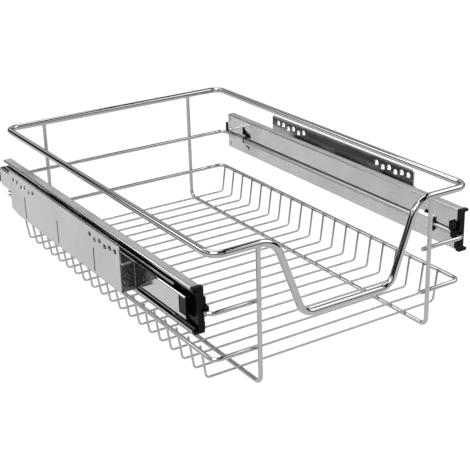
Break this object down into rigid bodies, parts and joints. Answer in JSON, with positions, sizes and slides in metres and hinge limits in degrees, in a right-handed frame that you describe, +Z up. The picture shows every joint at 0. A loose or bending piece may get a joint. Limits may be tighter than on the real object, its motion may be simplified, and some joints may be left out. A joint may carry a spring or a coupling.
{
  "type": "pull out cabinet basket",
  "caption": "Chromed wire basket with a dipped front that pulls out on ball-bearing side slides screwed inside a kitchen cabinet.",
  "frame": {"origin": "on the floor under the middle of the closed basket", "axes": "+Z up, +Y from the dipped front to the rear of the cabinet, +X to the right seen from the front"},
  "size_m": [0.3546, 0.465, 0.143],
  "materials": {
    "chromed_wire": "bright chrome plating on drawn steel wire",
    "zinc_sheet": "bright zinc plating on rolled steel sheet",
    "dull_zinc_sheet": "dull zinc plating on rolled steel sheet",
    "dark_zinc_sheet": "dark passivated zinc plating on pressed steel sheet",
    "zinc_plate": "satin zinc plating on punched steel sheet",
    "cage_steel": "bright thin steel strip",
    "bearing_steel": "polished steel",
    "black_moulding": "black, moulded, semi gloss",
    "black_rubber": "black rubber"
  },
  "bodies": {
    "cabinet_mounts": {"left_mounting_plate": "zinc_plate", "left_offset_brackets": "dark_zinc_sheet", "left_bracket_rivets": "bearing_steel", "left_cabinet_rail": "zinc_sheet", "left_rear_buffer": "black_rubber", "right_mounting_plate": "zinc_plate", "right_offset_brackets": "dark_zinc_sheet", "right_bracket_rivets": "bearing_steel", "right_cabinet_rail": "zinc_sheet", "right_rear_buffer": "black_rubber"},
    "basket": {"top_rim": "chromed_wire", "middle_ring_wire": "chromed_wire", "lower_ring_wire": "chromed_wire", "left_base_wire": "chromed_wire", "right_base_wire": "chromed_wire", "cross_wire_01": "chromed_wire", "cross_wire_02": "chromed_wire", "cross_wire_03": "chromed_wire", "cross_wire_04": "chromed_wire", "cross_wire_05": "chromed_wire", "cross_wire_06": "chromed_wire", "cross_wire_07": "chromed_wire", "cross_wire_08": "chromed_wire", "cross_wire_09": "chromed_wire", "cross_wire_10": "chromed_wire", "cross_wire_11": "chromed_wire", "cross_wire_12": "chromed_wire", "cross_wire_13": "chromed_wire", "cross_wire_14": "chromed_wire", "cross_wire_15": "chromed_wire", "cross_wire_16": "chromed_wire", "cross_wire_17": "chromed_wire", "cross_wire_18": "chromed_wire", "cross_wire_19": "chromed_wire", "cross_wire_20": "chromed_wire", "left_drawer_rail": "zinc_sheet", "left_front_cap": "black_moulding", "right_drawer_rail": "zinc_sheet", "right_front_cap": "black_moulding"},
    "left_middle": {"left_middle_rail": "dull_zinc_sheet", "left_middle_stop": "black_rubber"},
    "left_outer_cage": {"left_outer_ball_cage": "cage_steel", "left_outer_balls": "bearing_steel"},
    "left_inner_cage": {"left_inner_ball_cage": "cage_steel", "left_inner_balls": "bearing_steel"},
    "right_middle": {"right_middle_rail": "dull_zinc_sheet", "right_middle_stop": "black_rubber"},
    "right_outer_cage": {"right_outer_ball_cage": "cage_steel", "right_outer_balls": "bearing_steel"},
    "right_inner_cage": {"right_inner_ball_cage": "cage_steel", "right_inner_balls": "bearing_steel"}
  },
  "joints": [
    {"name": "basket_slide", "type": "slide", "parent": "cabinet_mounts", "child": "basket", "axis": [0, -1, 0], "range_m": [0, 0.38]},
    {"name": "left_middle_slide", "type": "slide", "parent": "cabinet_mounts", "child": "left_middle", "axis": [0, -1, 0], "range_m": [0, 0.19]},
    {"name": "left_outer_cage_slide", "type": "slide", "parent": "cabinet_mounts", "child": "left_outer_cage", "axis": [0, -1, 0], "range_m": [0, 0.285]},
    {"name": "left_inner_cage_slide", "type": "slide", "parent": "cabinet_mounts", "child": "left_inner_cage", "axis": [0, -1, 0], "range_m": [0, 0.095]},
    {"name": "right_middle_slide", "type": "slide", "parent": "cabinet_mounts", "child": "right_middle", "axis": [0, -1, 0], "range_m": [0, 0.19]},
    {"name": "right_outer_cage_slide", "type": "slide", "parent": "cabinet_mounts", "child": "right_outer_cage", "axis": [0, -1, 0], "range_m": [0, 0.285]},
    {"name": "right_inner_cage_slide", "type": "slide", "parent": "cabinet_mounts", "child": "right_inner_cage", "axis": [0, -1, 0], "range_m": [0, 0.095]}
  ],
  "couplings": [
    {"joint": "left_middle_slide", "follows": "basket_slide", "ratio": 0.5},
    {"joint": "left_outer_cage_slide", "follows": "basket_slide", "ratio": 0.75},
    {"joint": "left_inner_cage_slide", "follows": "basket_slide", "ratio": 0.25},
    {"joint": "right_middle_slide", "follows": "basket_slide", "ratio": 0.5},
    {"joint": "right_outer_cage_slide", "follows": "basket_slide", "ratio": 0.75},
    {"joint": "right_inner_cage_slide", "follows": "basket_slide", "ratio": 0.25}
  ]
}
